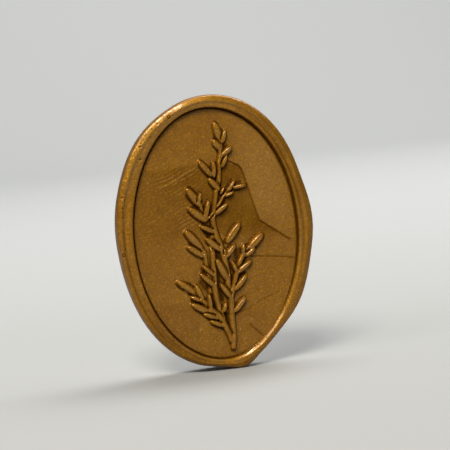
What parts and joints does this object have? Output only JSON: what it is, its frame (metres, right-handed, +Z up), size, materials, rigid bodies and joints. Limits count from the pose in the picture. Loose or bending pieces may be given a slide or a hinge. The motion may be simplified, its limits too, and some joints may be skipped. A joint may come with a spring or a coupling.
{
  "type": "wax seal",
  "caption": "Oval self-adhesive sealing-wax seal with an irregular raised rim, a leafy sprig in relief, a foam adhesive pad and a peel-off release liner.",
  "frame": {"origin": "centre of the oval on the pad's adhesive face, the face that the liner protects", "axes": "+Z up along the oval's long axis, +X to the right seen from the stamped face, +Y out of the adhesive face, so the stamped face looks toward -Y"},
  "size_m": [0.024, 0.0042, 0.033],
  "materials": {
    "wax": "pearlescent bronze-gold sealing wax, satin",
    "adhesive": "tacky acrylic adhesive film",
    "foam": "closed-cell foam tape",
    "liner_paper": "siliconised glassine paper"
  },
  "bodies": {
    "seal": {"wax_seal": "wax", "front_adhesive": "adhesive", "foam_core": "foam", "back_adhesive": "adhesive"},
    "liner": {"release_liner": "liner_paper"}
  },
  "joints": [
    {"name": "liner_peel", "type": "hinge", "parent": "seal", "child": "liner", "pos_m": [0, 0, 0.0143], "axis": [1, 0, 0], "range_deg": [0, 120]}
  ]
}
